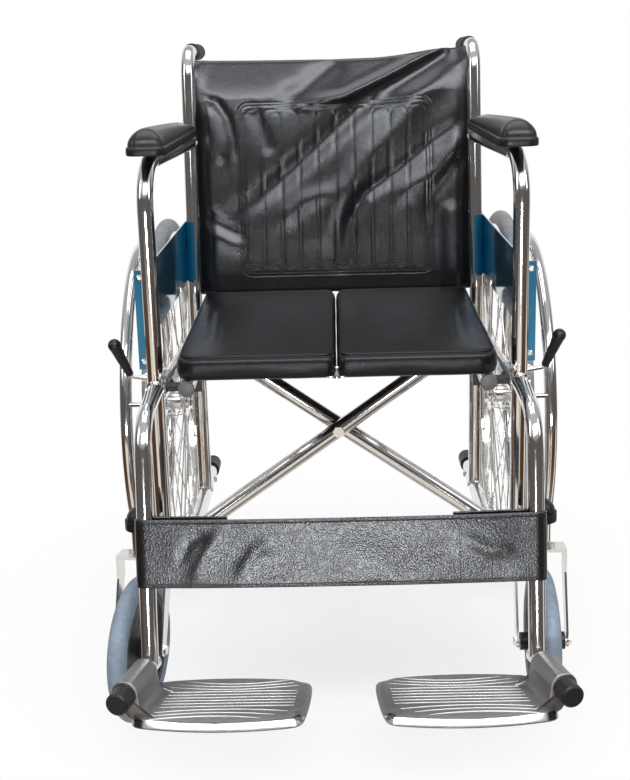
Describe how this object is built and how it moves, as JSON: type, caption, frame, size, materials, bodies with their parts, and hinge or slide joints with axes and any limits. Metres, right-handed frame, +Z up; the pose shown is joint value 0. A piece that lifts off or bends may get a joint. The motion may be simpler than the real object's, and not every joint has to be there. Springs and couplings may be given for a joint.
{
  "type": "manual wheelchair",
  "caption": "Folding manual wheelchair with a chromed tube frame, cross brace, spoked rear wheels with push rims, swivel casters, padded split seat, sling back, calf strap and cast footplates.",
  "frame": {"origin": "on the floor, under the middle of the chair's box", "axes": "+Z up, the chair faces -Y, +X is the sitter's left"},
  "size_m": [0.651, 1.0343, 0.8858],
  "materials": {
    "chrome": "polished",
    "fasteners": "satin",
    "aluminium": "satin",
    "blue_panel": "gloss",
    "leatherette": "satin",
    "pad": "satin",
    "plastic": "matte",
    "grip": "matte",
    "rubber": "matte",
    "tyre": "matte"
  },
  "bodies": {
    "right_frame": {"right_back_post": "chrome", "right_push_grip": "grip", "right_arm_tube": "chrome", "right_arm_pad": "pad", "right_side_rail": "chrome", "right_lower_rail": "chrome", "right_tip_rubber": "rubber", "right_hanger": "chrome", "right_footrest_cap": "rubber", "right_caster_mount": "chrome", "right_caster_cap": "plastic", "right_rear_axle": "fasteners", "right_skirt_panel": "blue_panel", "right_frame_screws": "fasteners", "right_brake_bracket": "fasteners", "right_rail_saddles": "plastic", "back_upholstery": "leatherette", "calf_strap": "leatherette"},
    "front_brace": {"left_cross_brace": "chrome", "left_seat_rail": "chrome"},
    "back_brace": {"right_cross_brace": "chrome", "right_seat_rail": "chrome"},
    "left_frame": {"left_back_post": "chrome", "left_push_grip": "grip", "left_arm_tube": "chrome", "left_arm_pad": "pad", "left_side_rail": "chrome", "left_lower_rail": "chrome", "left_tip_rubber": "rubber", "left_hanger": "chrome", "left_footrest_cap": "rubber", "left_caster_mount": "chrome", "left_caster_cap": "plastic", "left_rear_axle": "fasteners", "left_skirt_panel": "blue_panel", "left_frame_screws": "fasteners", "left_brake_bracket": "fasteners", "left_rail_saddles": "plastic"},
    "seat": {"left_seat_cushion": "leatherette", "right_seat_cushion": "leatherette"},
    "left_wheel": {"left_rear_tyre": "tyre", "left_rear_wheel": "chrome", "left_handrim": "chrome"},
    "left_caster": {"left_caster_fork": "chrome"},
    "left_caster_wheel": {"left_caster_tyre": "tyre", "left_caster_hub": "plastic"},
    "left_brake": {"left_brake_lever": "fasteners", "left_brake_grip": "plastic"},
    "left_shoe": {"left_brake_shoe": "fasteners"},
    "left_footrest": {"left_footplate": "aluminium"},
    "right_wheel": {"right_rear_tyre": "tyre", "right_rear_wheel": "chrome", "right_handrim": "chrome"},
    "right_caster": {"right_caster_fork": "chrome"},
    "right_caster_wheel": {"right_caster_tyre": "tyre", "right_caster_hub": "plastic"},
    "right_brake": {"right_brake_lever": "fasteners", "right_brake_grip": "plastic"},
    "right_shoe": {"right_brake_shoe": "fasteners"},
    "right_footrest": {"right_footplate": "aluminium"}
  },
  "joints": [
    {"name": "fold", "type": "hinge", "parent": "right_frame", "child": "front_brace", "pos_m": [-0.228, 0, 0.152], "axis": [0, -1, 0], "range_deg": [0, 43], "deforming": ["left_seat_cushion", "right_seat_cushion", "back_upholstery", "calf_strap"]},
    {"name": "fold_centre", "type": "hinge", "parent": "front_brace", "child": "back_brace", "pos_m": [0, 0, 0.31235], "axis": [0, 1, 0], "range_deg": [0, 86]},
    {"name": "fold_left", "type": "hinge", "parent": "back_brace", "child": "left_frame", "pos_m": [0.228, 0, 0.152], "axis": [0, -1, 0], "range_deg": [0, 43]},
    {"name": "seat_level", "type": "hinge", "parent": "front_brace", "child": "seat", "pos_m": [0.2, 0, 0.453], "axis": [0, 1, 0], "range_deg": [0, 43]},
    {"name": "left_wheel_spin", "type": "hinge", "parent": "left_frame", "child": "left_wheel", "pos_m": [0.275, 0.212, 0.305], "axis": [1, 0, 0], "continuous": true},
    {"name": "left_caster_swivel", "type": "hinge", "parent": "left_frame", "child": "left_caster", "pos_m": [0.27, -0.258, 0.244], "axis": [0, 0, 1], "continuous": true},
    {"name": "left_caster_spin", "type": "hinge", "parent": "left_caster", "child": "left_caster_wheel", "pos_m": [0.27, -0.294, 0.1], "axis": [1, 0, 0], "continuous": true},
    {"name": "left_brake_lever_turn", "type": "hinge", "parent": "left_frame", "child": "left_brake", "pos_m": [0.266, -0.14, 0.44], "axis": [1, 0, 0], "range_deg": [0, 30]},
    {"name": "left_brake_shoe_turn", "type": "hinge", "parent": "left_frame", "child": "left_shoe", "pos_m": [0.266, -0.118, 0.414], "axis": [1, 0, 0], "range_deg": [0, 4.5]},
    {"name": "left_footplate_flip", "type": "hinge", "parent": "left_frame", "child": "left_footrest", "pos_m": [0.247, -0.403, 0.131], "axis": [-0.2554, 0.9668, 0], "range_deg": [0, 95]},
    {"name": "right_wheel_spin", "type": "hinge", "parent": "right_frame", "child": "right_wheel", "pos_m": [-0.275, 0.212, 0.305], "axis": [1, 0, 0], "continuous": true},
    {"name": "right_caster_swivel", "type": "hinge", "parent": "right_frame", "child": "right_caster", "pos_m": [-0.27, -0.258, 0.244], "axis": [0, 0, 1], "continuous": true},
    {"name": "right_caster_spin", "type": "hinge", "parent": "right_caster", "child": "right_caster_wheel", "pos_m": [-0.27748, -0.29321, 0.1], "axis": [0.9781, -0.2079, 0], "continuous": true},
    {"name": "right_brake_lever_turn", "type": "hinge", "parent": "right_frame", "child": "right_brake", "pos_m": [-0.266, -0.14, 0.44], "axis": [1, 0, 0], "range_deg": [0, 30]},
    {"name": "right_brake_shoe_turn", "type": "hinge", "parent": "right_frame", "child": "right_shoe", "pos_m": [-0.266, -0.118, 0.414], "axis": [1, 0, 0], "range_deg": [0, 4.5]},
    {"name": "right_footplate_flip", "type": "hinge", "parent": "right_frame", "child": "right_footrest", "pos_m": [-0.247, -0.403, 0.131], "axis": [-0.2554, -0.9668, 0], "range_deg": [0, 95]}
  ],
  "couplings": [
    {"joint": "fold_centre", "follows": "fold", "ratio": 2},
    {"joint": "fold_left", "follows": "fold", "ratio": 1},
    {"joint": "seat_level", "follows": "fold", "ratio": 1},
    {"joint": "left_brake_shoe_turn", "follows": "left_brake_lever_turn", "ratio": 0.15},
    {"joint": "left_footplate_flip", "follows": "fold", "ratio": 2.2093},
    {"joint": "right_brake_shoe_turn", "follows": "right_brake_lever_turn", "ratio": 0.15},
    {"joint": "right_footplate_flip", "follows": "fold", "ratio": 2.2093}
  ]
}
